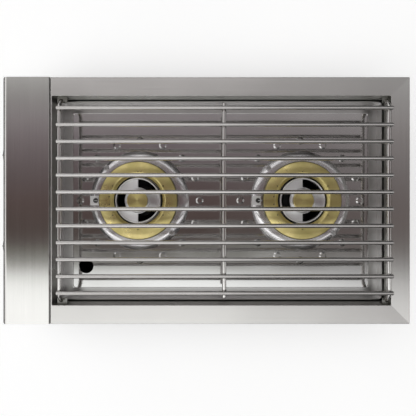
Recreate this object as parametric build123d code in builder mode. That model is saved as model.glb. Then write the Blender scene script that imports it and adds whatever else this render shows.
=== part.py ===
from build123d import *
import math
import os

# Built-in double side burner.  Millimetres, +Z up, controls at -Y, user's left at -X.
# The origin is under the middle of the whole unit, level with the bottom of the firebox.

# ---- driving dimensions -------------------------------------------------------------
overall_width = 350.0
overall_depth = 602.5
deck_z = 120.0                    # top of the deck frame
deck_sheet = 1.2
wall_sheet = 0.8
flange_width = 26.5               # deck flange left, right and back
skirt_height = 12.0
panel_depth = 68.0                # control panel, front to back
knob_reach = 24.0                 # how far the knobs stand out of the panel
panel_gap = 1.0                   # dark seam between panel and deck frame
front_strip = 2.0                 # deck frame in front of the opening

burner_spacing = 244.0
tap_x = 70.0                      # taps sit this far left and right of the middle
tap_z = 56.0
tap_turn_side = {"front": -1, "rear": 1}

rod_d = 6.0
bar_pitch = 23.5
bar_count = 12
bar_length = 470.5
bar_z = deck_z + 9.0
cross_z = bar_z - rod_d + 0.5     # the rods are welded half a millimetre deep

pan_floor_z = deck_z - 43.0
pan_rim_z = deck_z - 26.0
pan_sheet = 1.0
pan_gap = 1.5                     # between pan rim and firebox wall
pan_border = 14.5
pan_step = 1.5

# ---- stations worked out from them --------------------------------------------------
half_w = overall_width / 2
y_front = -overall_depth / 2                      # face of the knobs
y_back = overall_depth / 2
panel_front = y_front + knob_reach
panel_back = panel_front + panel_depth
deck_front = panel_back + panel_gap
open_front = deck_front + front_strip
open_back = y_back - flange_width
open_half = half_w - flange_width
open_mid = (open_front + open_back) / 2
open_len = open_back - open_front
well_mid = open_front + 239.5                     # midpoint between the burners
burner_y = {"front": well_mid - burner_spacing / 2, "rear": well_mid + burner_spacing / 2}
deck_under = deck_z - deck_sheet
panel_top = deck_z + 1.5

# burner stack, heights above the pan floor
dish_r = 75.0
dish_top = pan_floor_z + 7.0
ring_r = 58.5
ring_inner_r = 36.5
channel_r = 55.0                                  # outside of the cast gas channel
ring_seat_z = dish_top + 6.0
ring_edge_z = deck_z - 29.0
ring_top_z = deck_z - 24.0
crown_r = 33.7
crown_hub_r = 19.4
crown_top_z = deck_z - 25.0
cap_r = 15.0
cap_top_z = deck_z - 18.0
cap_seat_z = crown_top_z + 2.6
spigot_r = 12.5
bowl_r = 24.0
bowl_bottom_z = 42.0
socket_x = 34.0
tube_r = 11.0
tube_wall = 1.0
spark_r = 65.0                                    # electrode to burner centre

# gas taps, stations along Y
tap_front = panel_front + 10.0
tap_back = tap_front + 38.0
spud_tip = tap_back + 15.0
tube_front = tap_back + 7.0
shutter_front = tube_front + 1.0
shutter_length = 11.0
window_y = shutter_front + shutter_length / 2
knob_back = panel_front - 4.0
push_travel = 3.0
running = 0.05                                    # radial clearance of turning parts
manifold_y = tap_front + 27.0
manifold_z = 28.0
manifold_r = 8.0
flare_r = 7.94                                    # 3/8 in flare thread
flare_length = 12.0
inlet_x = 137.0

os.makedirs("parts", exist_ok=True)


def save(piece, label):
    """Name a finished piece and write it."""
    piece.part.label = label
    export_step(piece.part, f"parts/{label}.step")


def rect(x_min, x_max, y_min, y_max, mode=Mode.ADD, corner=0.0):
    """A rectangle by its edges, in the open sketch."""
    with Locations(((x_min + x_max) / 2, (y_min + y_max) / 2)):
        if corner > 0:
            RectangleRounded(x_max - x_min, y_max - y_min, corner, mode=mode)
        else:
            Rectangle(x_max - x_min, y_max - y_min, mode=mode)


def at_y(x, y, z):
    """Workplane across the Y axis at a point, its normal pointing to +Y, x to +X."""
    return Plane(origin=(x, y, z), x_dir=(1, 0, 0), z_dir=(0, 1, 0))


# ---- deck frame and firebox -----------------------------------------------------------
def make_deck_frame():
    inner = (-open_half, open_half, open_front, open_back)
    lip = 12.0
    front_relief = 0.5                # the front skirt ends above the three lips
    with BuildPart() as deck:
        with BuildSketch(Plane.XY.offset(deck_under)):
            rect(-half_w, half_w, deck_front, y_back)
            rect(*inner, mode=Mode.SUBTRACT, corner=1.5)
        extrude(amount=deck_sheet)
        with BuildSketch(Plane.XY.offset(deck_z - skirt_height)):
            rect(-half_w, half_w, deck_front, y_back)
            rect(
                -half_w + deck_sheet,
                half_w - deck_sheet,
                deck_front + deck_sheet,
                y_back - deck_sheet,
                mode=Mode.SUBTRACT,
            )
        extrude(amount=skirt_height - deck_sheet)
        with BuildSketch(Plane.XY.offset(deck_z - skirt_height)):
            rect(-half_w, half_w, deck_front, y_back)
            rect(-half_w + lip, half_w - lip, deck_front + deck_sheet, y_back - lip, mode=Mode.SUBTRACT)
        extrude(amount=deck_sheet)
        with BuildSketch(Plane.XY.offset(deck_z - skirt_height)):
            rect(-half_w + lip, half_w - lip, deck_front, deck_front + deck_sheet)
        extrude(amount=front_relief, mode=Mode.SUBTRACT)
        outside = deck.edges().filter_by(Axis.Z).filter_by(lambda e: abs(e.center().Y - y_back) < 0.01)
        fillet(outside, 1.5)
        top_edges = deck.faces().sort_by(Axis.Z)[-1].edges()
        fillet(top_edges, 0.6)
    save(deck, "deck_frame")


def make_side_wall(name, side):
    """A side sheet, from the control panel to the back, higher where it carries the panel top."""
    x_inner = side * open_half
    panel_under = panel_top - deck_sheet
    front = panel_front + deck_sheet
    slot_count = 9
    slot_pitch = 44.0
    with BuildPart() as wall:
        with BuildSketch(Plane(origin=(x_inner, 0, 0), x_dir=(0, 1, 0), z_dir=(1, 0, 0))):
            with BuildLine():
                Polyline(
                    (front, deck_sheet + 1.5),
                    (front + 1.5, deck_sheet),
                    (panel_back - deck_sheet, deck_sheet),
                    (panel_back - deck_sheet, 0),
                    (open_back, 0),
                    (open_back, deck_under),
                    (deck_front + deck_sheet, deck_under),
                    (deck_front + deck_sheet, deck_z - skirt_height),
                    (panel_back - deck_sheet, deck_z - skirt_height),
                    (panel_back - deck_sheet, panel_under - 1),
                    (panel_back - deck_sheet - 1, panel_under),
                    (front + 9, panel_under),
                    (front, panel_under - 9),
                    close=True,
                )
            make_face()
            with Locations((open_mid, 24)):
                with GridLocations(slot_pitch, 1, slot_count, 1):
                    SlotOverall(30, 6, mode=Mode.SUBTRACT)
        extrude(amount=side * wall_sheet)
    save(wall, name)


def make_cross_wall(name, y, openings):
    """A sheet across the firebox, its front face at y."""
    with BuildPart() as wall:
        with BuildSketch(Plane(origin=(0, y, 0), x_dir=(1, 0, 0), z_dir=(0, -1, 0))):
            with Locations((0, deck_under / 2)):
                Rectangle(2 * open_half, deck_under)
            for x, z, r in openings:
                with Locations((x, z)):
                    Circle(r, mode=Mode.SUBTRACT)
        extrude(amount=-wall_sheet)
    save(wall, name)


def make_base_plate():
    slots_x = 5
    slots_y = 7
    with BuildPart() as base:
        with BuildSketch(Plane.XY):
            rect(-open_half, open_half, open_front, open_back)
            with Locations((0, open_mid)):
                with GridLocations(50, 62, slots_x, slots_y):
                    SlotOverall(34, 7, mode=Mode.SUBTRACT)
        extrude(amount=deck_sheet)
    save(base, "base_plate")


# ---- drip pan ----------------------------------------------------------------------------
def make_dimple():
    """A pressed dimple: a low cone with a flat top."""
    base_r = 5.8
    top_r = 3.6
    h = 1.2
    with BuildPart(mode=Mode.PRIVATE) as dome:
        with BuildSketch(Plane.XZ):
            with BuildLine():
                Polyline((0, 0), (base_r, 0), (top_r, h), (0, h), close=True)
            make_face()
        revolve(axis=Axis.Z)
    return dome.part


def make_drip_pan():
    x_out = open_half - pan_gap
    y_out = open_len / 2 - pan_gap
    x_in = x_out - pan_border
    y_in = y_out - pan_border
    hole_r = 11.0
    hole = (100.0, well_mid - 204.0)
    dimple = make_dimple()
    middle = (0, open_mid)
    with BuildPart() as pan:
        with BuildSketch(Plane.XY.offset(pan_floor_z - pan_sheet)):
            with Locations(middle):
                RectangleRounded(2 * x_in + 2 * pan_sheet, 2 * y_in + 2 * pan_sheet, 5)
        extrude(amount=pan_sheet)
        with BuildSketch(Plane.XY.offset(pan_floor_z)):
            with Locations(middle):
                RectangleRounded(2 * x_in + 2 * pan_sheet, 2 * y_in + 2 * pan_sheet, 5)
                RectangleRounded(2 * x_in, 2 * y_in, 4, mode=Mode.SUBTRACT)
        extrude(amount=pan_step)
        with BuildSketch(Plane.XY.offset(pan_floor_z + pan_step - pan_sheet)):
            with Locations(middle):
                RectangleRounded(2 * x_out, 2 * y_out, 6)
                RectangleRounded(2 * x_in, 2 * y_in, 4, mode=Mode.SUBTRACT)
        extrude(amount=pan_sheet)
        with BuildSketch(Plane.XY.offset(pan_floor_z + pan_step - pan_sheet)):
            with Locations(middle):
                RectangleRounded(2 * x_out, 2 * y_out, 6)
                RectangleRounded(2 * x_out - 2 * pan_sheet, 2 * y_out - 2 * pan_sheet, 5, mode=Mode.SUBTRACT)
        extrude(amount=pan_rim_z - pan_floor_z - pan_step + pan_sheet)
        for y in burner_y.values():
            with Locations((0, y, pan_floor_z)):
                with PolarLocations(91.0, 16):
                    add(dimple)
        with BuildSketch(Plane.XY.offset(pan_floor_z - 2 * pan_sheet)):
            for y in burner_y.values():
                with Locations((0, y)):
                    Circle(bowl_r + 9)
                with Locations((0, y - spark_r)):
                    Circle(5.5)
            with Locations(hole):
                Circle(hole_r)
        extrude(amount=4 * pan_sheet, mode=Mode.SUBTRACT)
    save(pan, "drip_pan")


# ---- grate -------------------------------------------------------------------------------
bar_y_mid = well_mid + 5.25
cross_y = [well_mid - 227.5, well_mid + 4.5, well_mid + 236.5]
tab_top_z = deck_z - 7.5


def make_grate_supports():
    """Four folded angle tabs on the side walls that carry the grate's feet."""
    reach = 8.5
    width = 14.0
    drop = 12.0
    with BuildPart() as tabs:
        for side in (-1, 1):
            for y in (cross_y[0], cross_y[2]):
                x_wall = side * open_half
                with BuildSketch(Plane(origin=(0, y, 0), x_dir=(1, 0, 0), z_dir=(0, -1, 0))):
                    with BuildLine():
                        Polyline(
                            (x_wall, tab_top_z),
                            (x_wall - side * reach, tab_top_z),
                            (x_wall - side * reach, tab_top_z - deck_sheet),
                            (x_wall - side * deck_sheet, tab_top_z - deck_sheet),
                            (x_wall - side * deck_sheet, tab_top_z - drop),
                            (x_wall, tab_top_z - drop),
                            close=True,
                        )
                    make_face()
                extrude(amount=(width if y < 0 else 9.0) / 2, both=True)
    save(tabs, "grate_supports")


def make_grate():
    x_first = -(bar_count - 1) / 2 * bar_pitch
    with BuildPart() as bars:
        for i in range(bar_count):
            with BuildSketch(at_y(x_first + i * bar_pitch, bar_y_mid - bar_length / 2, bar_z)):
                Circle(rod_d / 2)
            extrude(amount=bar_length)
        ends = bars.edges().filter_by(GeomType.CIRCLE)
        fillet(ends, 1.6)
    save(bars, "grate_bars")

    foot_x = open_half - 5.5
    bend_x = 134.5
    foot_z = tab_top_z + 2.5          # height of the rod's middle where it is cut off
    with BuildPart() as rods:
        for y in (cross_y[0], cross_y[2]):
            with BuildLine():
                FilletPolyline(
                    (-foot_x, y, foot_z),
                    (-bend_x, y, cross_z),
                    (bend_x, y, cross_z),
                    (foot_x, y, foot_z),
                    radius=8,
                )
            start = (-foot_x, y, foot_z)
            along = Vector(foot_x - bend_x, 0, cross_z - foot_z)
            with BuildSketch(Plane(origin=start, z_dir=along)):
                Circle(rod_d / 2)
            sweep()
        with BuildSketch(Plane(origin=(-137, cross_y[1], cross_z), z_dir=(1, 0, 0))):
            Circle(rod_d / 2)
        extrude(amount=274)
        fillet(rods.edges().filter_by(GeomType.CIRCLE).filter_by(lambda e: abs(e.center().X) > 136.5), 1.2)
    save(rods, "grate_cross_rods")


# ---- control panel -------------------------------------------------------------------------
def make_control_panel():
    nose_r = 8.0
    back_flange = 10.0
    corner_r = 5.0
    with BuildPart() as panel:
        with BuildSketch(Plane(origin=(-half_w, 0, 0), x_dir=(0, 1, 0), z_dir=(1, 0, 0))):
            with BuildLine():
                outer = FilletPolyline(
                    (panel_front + 16, 0),
                    (panel_front, 0),
                    (panel_front, panel_top),
                    (panel_back, panel_top),
                    (panel_back, panel_top - back_flange),
                    radius=[2.5, nose_r, 1.8],
                )
                offset(outer, amount=-deck_sheet, side=Side.RIGHT, closed=True)
            make_face()
        extrude(amount=overall_width)
        with BuildSketch(Plane.XY):
            rect(-half_w, half_w, panel_front, panel_back)
            rect(-half_w, half_w, panel_front, panel_back + 20, mode=Mode.SUBTRACT, corner=corner_r)
        extrude(amount=panel_top, mode=Mode.SUBTRACT)
        with BuildSketch(Plane(origin=(0, panel_front - 1, 0), x_dir=(1, 0, 0), z_dir=(0, -1, 0))):
            with Locations((-tap_x, tap_z), (tap_x, tap_z)):
                Circle(6)
            with Locations((0, tap_z)):
                Circle(12.5)
        extrude(amount=-8, mode=Mode.SUBTRACT)
    save(panel, "control_panel")


cheek_inset = 6.0


def make_end_cheeks():
    """Plates that close the ends of the panel, each with a rear flange against the firebox."""
    wall_face = open_half + wall_sheet
    flange_top = deck_z - 1.0
    with BuildPart() as cheeks:
        for side in (-1, 1):
            x_out = side * (half_w - cheek_inset)
            with BuildSketch(Plane(origin=(x_out, 0, 0), x_dir=(0, 1, 0), z_dir=(1, 0, 0))):
                with BuildLine():
                    FilletPolyline(
                        (panel_front + deck_sheet, deck_sheet),
                        (panel_front + deck_sheet, panel_top - deck_sheet),
                        (panel_back - deck_sheet, panel_top - deck_sheet),
                        (panel_back - deck_sheet, deck_sheet),
                        close=True,
                        radius=[1.3, 6.8, 0.6, 3.0],
                    )
                make_face()
            extrude(amount=-side * deck_sheet)
            with BuildSketch(Plane.XY.offset(deck_sheet + 3.0)):
                rect(
                    min(side * wall_face, x_out),
                    max(side * wall_face, x_out),
                    panel_back - 2 * deck_sheet,
                    panel_back - deck_sheet,
                )
            extrude(amount=flange_top - deck_sheet - 3.0)
    save(cheeks, "panel_end_cheeks")


def make_panel_screws():
    """Four screws through the cheeks' rear flanges into the front skirt of the deck frame."""
    screw_z = deck_z - skirt_height / 2
    head_y = panel_back - 2 * deck_sheet
    with BuildPart() as screws:
        for x in (-half_w + 13, -half_w + 20, half_w - 20, half_w - 13):
            with BuildSketch(Plane(origin=(x, head_y, screw_z), z_dir=(0, -1, 0))):
                Circle(3.0)
            extrude(amount=2.0)
            with BuildSketch(Plane(origin=(x, head_y, screw_z), z_dir=(0, 1, 0))):
                Circle(1.5)
            extrude(amount=8)
    save(screws, "panel_screws")


# ---- gas manifold --------------------------------------------------------------------------
def make_manifold():
    x_end = inlet_x - 9
    with BuildPart() as pipe:
        with BuildSketch(Plane(origin=(-x_end, manifold_y, manifold_z), z_dir=(1, 0, 0))):
            Circle(manifold_r)
        extrude(amount=2 * x_end)
        for x in (-tap_x, tap_x):
            with BuildSketch(Plane(origin=(x, manifold_y, manifold_z))):
                Circle(5.5)
            extrude(amount=tap_z - 12 - manifold_z)
        with BuildSketch(Plane(origin=(-x_end + 4, manifold_y, manifold_z), z_dir=(1, 0, 0))):
            Circle(manifold_r - 1.5)
        extrude(amount=2 * x_end - 4, mode=Mode.SUBTRACT)
        for x in (-tap_x, tap_x):
            with BuildSketch(Plane(origin=(x, manifold_y, manifold_z))):
                Circle(3)
            extrude(amount=20, mode=Mode.SUBTRACT)
    save(pipe, "gas_manifold")

    wall_face = open_front - wall_sheet
    with BuildPart() as brackets:
        for x in (-112, 112):
            with BuildSketch(Plane(origin=(x - 6, 0, 0), x_dir=(0, 1, 0), z_dir=(1, 0, 0))):
                with Locations((manifold_y, manifold_z)):
                    Circle(manifold_r + 1.5)
                rect(manifold_y, wall_face, manifold_z - 1, manifold_z + 1)
                rect(wall_face - 1.2, wall_face, manifold_z - 12, manifold_z + 12)
                with Locations((manifold_y, manifold_z)):
                    Circle(manifold_r, mode=Mode.SUBTRACT)
            extrude(amount=12)
    save(brackets, "manifold_brackets")

    with BuildPart() as fitting:
        with BuildSketch(Plane(origin=(x_end, manifold_y, manifold_z), z_dir=(1, 0, 0))):
            Circle(manifold_r + 1)
        extrude(amount=inlet_x - x_end)
        with BuildSketch(Plane(origin=(inlet_x, manifold_y, manifold_z + 9.5))):
            Circle(manifold_r + 1)
        extrude(amount=-20)
        fillet(fitting.edges().filter_by(GeomType.CIRCLE).sort_by(Axis.Z)[-1], 3)
        with BuildSketch(Plane(origin=(inlet_x, manifold_y, flare_length + 1.5))):
            RegularPolygon(radius=10.5, side_count=6)
        extrude(amount=5)
        with BuildSketch(Plane(origin=(inlet_x, manifold_y, 1.5))):
            Circle(flare_r)
        extrude(amount=flare_length)
        with BuildSketch(Plane(origin=(inlet_x, manifold_y, 0))):
            Circle(3.6)
        extrude(amount=manifold_z + 3, mode=Mode.SUBTRACT)
        with BuildSketch(Plane(origin=(x_end, manifold_y, manifold_z), z_dir=(1, 0, 0))):
            Circle(3.6)
        extrude(amount=inlet_x - x_end, mode=Mode.SUBTRACT)
    save(fitting, "gas_inlet_fitting")


# ---- gas tap and knob ----------------------------------------------------------------------
stem_r = 4.0
collar_r = 5.6
chamber_r = 6.0
chamber_front = tap_front + 3.0
collar_front = chamber_front + 0.1
collar_length = 2.0
plug_front = tap_front + 14.0
plug_length = 18.0
plug_r = 7.0
drive_side = 4.6
spring_gap = 0.05


def cylinder_on_y(x, y, length, r):
    """A round bar along Y in the open part, starting at y."""
    with BuildSketch(at_y(x, y, tap_z)) as face:
        Circle(r)
    extrude(face.sketch, amount=length)


def bore_on_y(x, y, length, r):
    """A round hole along Y in the open part, starting at y."""
    with BuildSketch(at_y(x, y, tap_z)) as face:
        Circle(r)
    extrude(face.sketch, amount=length, mode=Mode.SUBTRACT)


def make_tap(side_name):
    x = tap_turn_side[side_name] * tap_x
    length = tap_back - tap_front
    with BuildPart() as body:
        with BuildSketch(at_y(x, tap_front, tap_z)):
            RectangleRounded(24, 24, 4)
        extrude(amount=length)
        cylinder_on_y(x, tap_front - 5, 5, 8.5)
        bore_on_y(x, tap_front - 6, 12, stem_r + running)
        bore_on_y(x, chamber_front, plug_front - chamber_front, chamber_r)
        bore_on_y(x, plug_front - running, plug_length + 2 * running, plug_r + running)
        bore_on_y(x, plug_front + plug_length, 10, 1.2)
        with BuildSketch(Plane(origin=(x, manifold_y, tap_z - 12))):
            Circle(3)
        extrude(amount=6, mode=Mode.SUBTRACT)
    save(body, f"{side_name}_valve_body")

    with BuildPart() as spud:
        with BuildSketch(at_y(x, tap_back, tap_z)):
            RegularPolygon(radius=5.5, side_count=6)
        extrude(amount=5)
        cylinder_on_y(x, tap_back + 5, spud_tip - tap_back - 5, 3)
        chamfer(spud.edges().filter_by(GeomType.CIRCLE).sort_by(Axis.Y)[-1], 1)
        bore_on_y(x, tap_back, 14, 1.2)
        bore_on_y(x, tap_back, 20, 0.5)
    save(spud, f"{side_name}_orifice")

    with BuildPart() as plug:
        cylinder_on_y(x, plug_front, plug_length, plug_r)
        with BuildSketch(at_y(x, plug_front, tap_z)):
            Rectangle(drive_side + 0.2, drive_side + 0.2)
        extrude(amount=8, mode=Mode.SUBTRACT)
        with BuildSketch(Plane(origin=(x, manifold_y, tap_z), z_dir=(1, 0, 0))):
            Circle(1.4)
        extrude(amount=plug_r + 1, mode=Mode.SUBTRACT)
        bore_on_y(x, plug_front + 11, plug_length - 11, 1.2)
    save(plug, f"{side_name}_tap_plug")

    with BuildPart() as stem:
        cylinder_on_y(x, knob_back - 13, collar_front - knob_back + 13, stem_r)
        cylinder_on_y(x, collar_front, collar_length, collar_r)
        with BuildSketch(at_y(x, collar_front + collar_length, tap_z)):
            Rectangle(drive_side, drive_side)
        extrude(amount=plug_front + 4.5 - collar_front - collar_length)
    save(stem, f"{side_name}_valve_stem")

    spring_start = collar_front + collar_length + spring_gap
    spring_length = plug_front - spring_gap - spring_start
    wire_r = 0.45
    spring_r = 5.0
    pitch = (spring_length - 2 * wire_r) / 4
    path = Helix(pitch, spring_length - 2 * wire_r, spring_r)
    path = at_y(x, spring_start + wire_r, tap_z).location * path
    with BuildPart() as spring:
        with BuildSketch(Plane(origin=path @ 0, z_dir=path % 0)):
            Circle(wire_r)
        sweep(path=path, is_frenet=True)
    save(spring, f"{side_name}_stem_spring")


def make_knob(side_name):
    x = tap_turn_side[side_name] * tap_x
    knob_r = 19.0
    face_y = y_front
    flutes = 18
    with BuildPart() as knob:
        with BuildSketch(at_y(x, knob_back, tap_z)):
            Circle(knob_r)
        extrude(amount=-(knob_back - face_y - 1.0))
        fillet(knob.edges().filter_by(GeomType.CIRCLE).sort_by(Axis.Y)[0], 3)
        with BuildSketch(at_y(x, knob_back, tap_z)):
            Circle(knob_r + 2)
        extrude(amount=-3)
        with BuildSketch(at_y(x, knob_back - 3.5, tap_z)):
            with PolarLocations(knob_r + 0.6, flutes):
                Circle(1.6)
        extrude(amount=-(knob_back - 3.5 - face_y - 4), mode=Mode.SUBTRACT)
        bore_on_y(x, knob_back - 13, 14, stem_r)
        with BuildSketch(at_y(x, knob_back, tap_z)):
            Circle(knob_r - 3)
            Circle(stem_r + 3, mode=Mode.SUBTRACT)
        extrude(amount=-11, mode=Mode.SUBTRACT)
        with BuildSketch(at_y(x, face_y + 1.0, tap_z)):
            with Locations((0, -9)):
                SlotOverall(14, 2.6, rotation=90)
        extrude(amount=1.6, mode=Mode.SUBTRACT)
    save(knob, f"{side_name}_knob")

    with BuildPart() as pointer:
        with BuildSketch(at_y(x, face_y, tap_z)):
            with Locations((0, -9)):
                SlotOverall(14, 2.6, rotation=90)
        extrude(amount=2.6)
    save(pointer, f"{side_name}_knob_pointer")

    bezel_depth = 3.0
    with BuildPart() as bezel:
        with BuildSketch(at_y(x, panel_front, tap_z)):
            Circle(28)
            Circle(22.5, mode=Mode.SUBTRACT)
        extrude(amount=-bezel_depth)
        fillet(bezel.edges().filter_by(GeomType.CIRCLE).group_by(Axis.Y)[0], 1.2)
        with BuildSketch(at_y(x, panel_front, tap_z)):
            Circle(24)
            Circle(5.5, mode=Mode.SUBTRACT)
        extrude(amount=-0.6)
    save(bezel, f"{side_name}_bezel")


# ---- igniter -------------------------------------------------------------------------------
button_r = 8.0
module_r = 12.0
module_back = panel_front + 56.0
cell_r = 7.25
cell_front = panel_front + 9.2
cell_length = 39.5


def make_igniter():
    with BuildPart() as module:
        cylinder_on_y(0, panel_front, module_back - panel_front, module_r)
        cylinder_on_y(0, panel_front - 1.5, 1.5, 15)
        bore_on_y(0, panel_front - 2, 11, button_r + 0.3)
        bore_on_y(0, panel_front + 8, cell_front + cell_length - panel_front - 8, cell_r)
        for x in (-6, 6):
            with BuildSketch(at_y(x, module_back, tap_z)):
                Circle(2.6)
            extrude(amount=3)
    save(module, "igniter_module")

    with BuildPart() as ring:
        with BuildSketch(at_y(0, panel_front + deck_sheet, tap_z)):
            RegularPolygon(radius=18, side_count=6)
            Circle(module_r, mode=Mode.SUBTRACT)
        extrude(amount=5)
    save(ring, "igniter_nut")

    button_back = panel_front + 1.5
    with BuildPart() as button:
        cylinder_on_y(0, panel_front - 7.0, button_back - panel_front + 7.0, button_r)
        fillet(button.edges().filter_by(GeomType.CIRCLE).sort_by(Axis.Y)[0], 2)
        bore_on_y(0, button_back - 4, 5, button_r - 1.4)
    save(button, "igniter_button")

    spring_start = button_back - 4 + spring_gap
    spring_end = cell_front - 1.2 - spring_gap
    wire_r = 0.35
    span = spring_end - spring_start - 2 * wire_r
    path = Helix(span / 4, span, 4.5)
    path = at_y(0, spring_start + wire_r, tap_z).location * path
    with BuildPart() as spring:
        with BuildSketch(Plane(origin=path @ 0, z_dir=path % 0)):
            Circle(wire_r)
        sweep(path=path, is_frenet=True)
    save(spring, "igniter_spring")

    with BuildPart() as cell:
        cylinder_on_y(0, cell_front, cell_length, cell_r)
        cylinder_on_y(0, cell_front - 1.2, 1.2, 5.2)
    save(cell, "battery")


# ---- burners -------------------------------------------------------------------------------
def web_sketch(inner_r, outer_r, start, sweep_angle):
    """A sector of a ring in the open sketch, angles from +X."""
    steps = 12
    angles = [math.radians(start + sweep_angle * i / steps) for i in range(steps + 1)]
    outer_points = [(outer_r * math.cos(a), outer_r * math.sin(a)) for a in angles]
    inner_points = [(inner_r * math.cos(a), inner_r * math.sin(a)) for a in reversed(angles)]
    with BuildSketch(mode=Mode.PRIVATE) as sector:
        with BuildLine():
            Polyline(*outer_points, *inner_points, close=True)
        make_face()
    return sector.sketch


screw_circle_r = 69.5
screw_head_z = dish_top - 0.7
screw_r = 1.6
seat_r = 4.3                      # spot-faced seat round each dish screw


def make_dish(side_name):
    """Polished round tray under a burner, its edge rolled down to a short skirt."""
    y = burner_y[side_name]
    roll_r = 13.5
    roll_start = dish_r - 11.0

    def on_roll(r, depth):
        """Point of the rolled edge at distance r from the axis, below the surface by depth."""
        return (r, dish_top - roll_r + math.sqrt((roll_r - depth) ** 2 - (r - roll_start) ** 2))

    with BuildPart() as dish:
        with BuildSketch(Plane(origin=(0, y, 0), x_dir=(1, 0, 0), z_dir=(0, -1, 0))):
            with BuildLine():
                Line((34.5, dish_top), on_roll(roll_start, 0))
                ThreePointArc(on_roll(roll_start, 0), on_roll(dish_r - 5, 0), on_roll(dish_r, 0))
                Polyline(
                    on_roll(dish_r, 0),
                    (dish_r, pan_floor_z),
                    (dish_r - 1, pan_floor_z),
                    on_roll(dish_r - 1, 1),
                )
                ThreePointArc(on_roll(dish_r - 1, 1), on_roll(dish_r - 5, 1), on_roll(roll_start, 1))
                Polyline(on_roll(roll_start, 1), (34.5, dish_top - 1), (34.5, dish_top))
            make_face()
        revolve(axis=Axis(origin=(0, y, 0), direction=(0, 0, 1)))
        with BuildSketch(Plane(origin=(0, y, pan_floor_z + 2))):
            with PolarLocations(screw_circle_r, 2, start_angle=45):
                Circle(seat_r)
        extrude(amount=screw_head_z - pan_floor_z - 2)
        with BuildSketch(Plane(origin=(0, y, screw_head_z))):
            with PolarLocations(screw_circle_r, 2, start_angle=45):
                Circle(seat_r)
        extrude(amount=2, mode=Mode.SUBTRACT)
        with BuildSketch(Plane(origin=(0, y, pan_floor_z))):
            with Locations((0, -spark_r)):
                Circle(4.2)
            with PolarLocations(screw_circle_r, 2, start_angle=45):
                Circle(screw_r)
        extrude(amount=10, mode=Mode.SUBTRACT)
    save(dish, f"{side_name}_burner_dish")


def make_dish_screws():
    """Two pan-head screws in each burner's dish."""
    with BuildPart() as screws:
        for y in burner_y.values():
            with BuildSketch(Plane(origin=(0, y, screw_head_z))):
                with PolarLocations(screw_circle_r, 2, start_angle=45):
                    Circle(3.6)
            extrude(amount=2.2)
            with BuildSketch(Plane(origin=(0, y, pan_floor_z + 0.5))):
                with PolarLocations(screw_circle_r, 2, start_angle=45):
                    Circle(screw_r)
            extrude(amount=screw_head_z - pan_floor_z - 0.5)
        tops = screws.edges().filter_by(GeomType.CIRCLE).group_by(Axis.Z)[-1]
        fillet(tops, 0.9)
        for y in burner_y.values():
            with BuildSketch(Plane(origin=(0, y, screw_head_z + 1.3))):
                with PolarLocations(screw_circle_r, 2, start_angle=45):
                    Rectangle(3.6, 0.9)
                    Rectangle(0.9, 3.6)
            extrude(amount=2, mode=Mode.SUBTRACT)
    save(screws, "dish_screws")


def make_burner_base(side_name):
    """Cast burner body: gas channel, three feed arms, mixing bowl and the tube socket."""
    y = burner_y[side_name]
    side = tap_turn_side[side_name]
    hub_r = 17.5
    with BuildPart() as base:
        with BuildSketch(Plane(origin=(0, y, bowl_bottom_z))):
            Circle(bowl_r)
        extrude(amount=pan_floor_z - 3 - bowl_bottom_z)
        fillet(base.edges().filter_by(GeomType.CIRCLE).sort_by(Axis.Z)[0], 6)
        with BuildSketch(Plane(origin=(0, y, pan_floor_z - 3))):
            Circle(hub_r)
        extrude(amount=ring_seat_z - pan_floor_z + 3)
        with BuildSketch(Plane(origin=(0, y, dish_top))):
            Circle(channel_r)
            Circle(35.5, mode=Mode.SUBTRACT)
        extrude(amount=ring_seat_z - dish_top)
        for start in (75, 195, 315):
            with BuildSketch(Plane(origin=(0, y, dish_top))):
                add(web_sketch(hub_r - 2, 37, start, 30))
            extrude(amount=ring_seat_z - dish_top)
        with BuildSketch(Plane(origin=(side * 15, y, tap_z), z_dir=(side, 0, 0))):
            Circle(tube_r + 3)
        extrude(amount=socket_x - 15)
        with BuildSketch(Plane(origin=(side * (socket_x - 12), y, tap_z), z_dir=(side, 0, 0))):
            Circle(tube_r)
        extrude(amount=14, mode=Mode.SUBTRACT)
        with BuildSketch(Plane(origin=(0, y, bowl_bottom_z + 3))):
            Circle(bowl_r - 4)
        extrude(amount=pan_floor_z - 9 - bowl_bottom_z, mode=Mode.SUBTRACT)
        with BuildSketch(Plane(origin=(side * 15, y, tap_z), z_dir=(side, 0, 0))):
            Circle(tube_r - 1)
        extrude(amount=10, mode=Mode.SUBTRACT)
        with BuildSketch(Plane(origin=(0, y, pan_floor_z - 12))):
            Circle(hub_r - 4)
        extrude(amount=40, mode=Mode.SUBTRACT)
        with BuildSketch(Plane(origin=(0, y, dish_top + 2))):
            Circle(channel_r - 4)
            Circle(39.5, mode=Mode.SUBTRACT)
        extrude(amount=10, mode=Mode.SUBTRACT)
        for angle in (90, 210, 330):
            middle = Plane(origin=(0, y, dish_top + 3.5)).rotated((0, 0, angle))
            with BuildSketch(middle):
                with Locations((27, 0)):
                    Rectangle(30, 7)
            extrude(amount=10, mode=Mode.SUBTRACT)
    save(base, f"{side_name}_burner_base")


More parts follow.
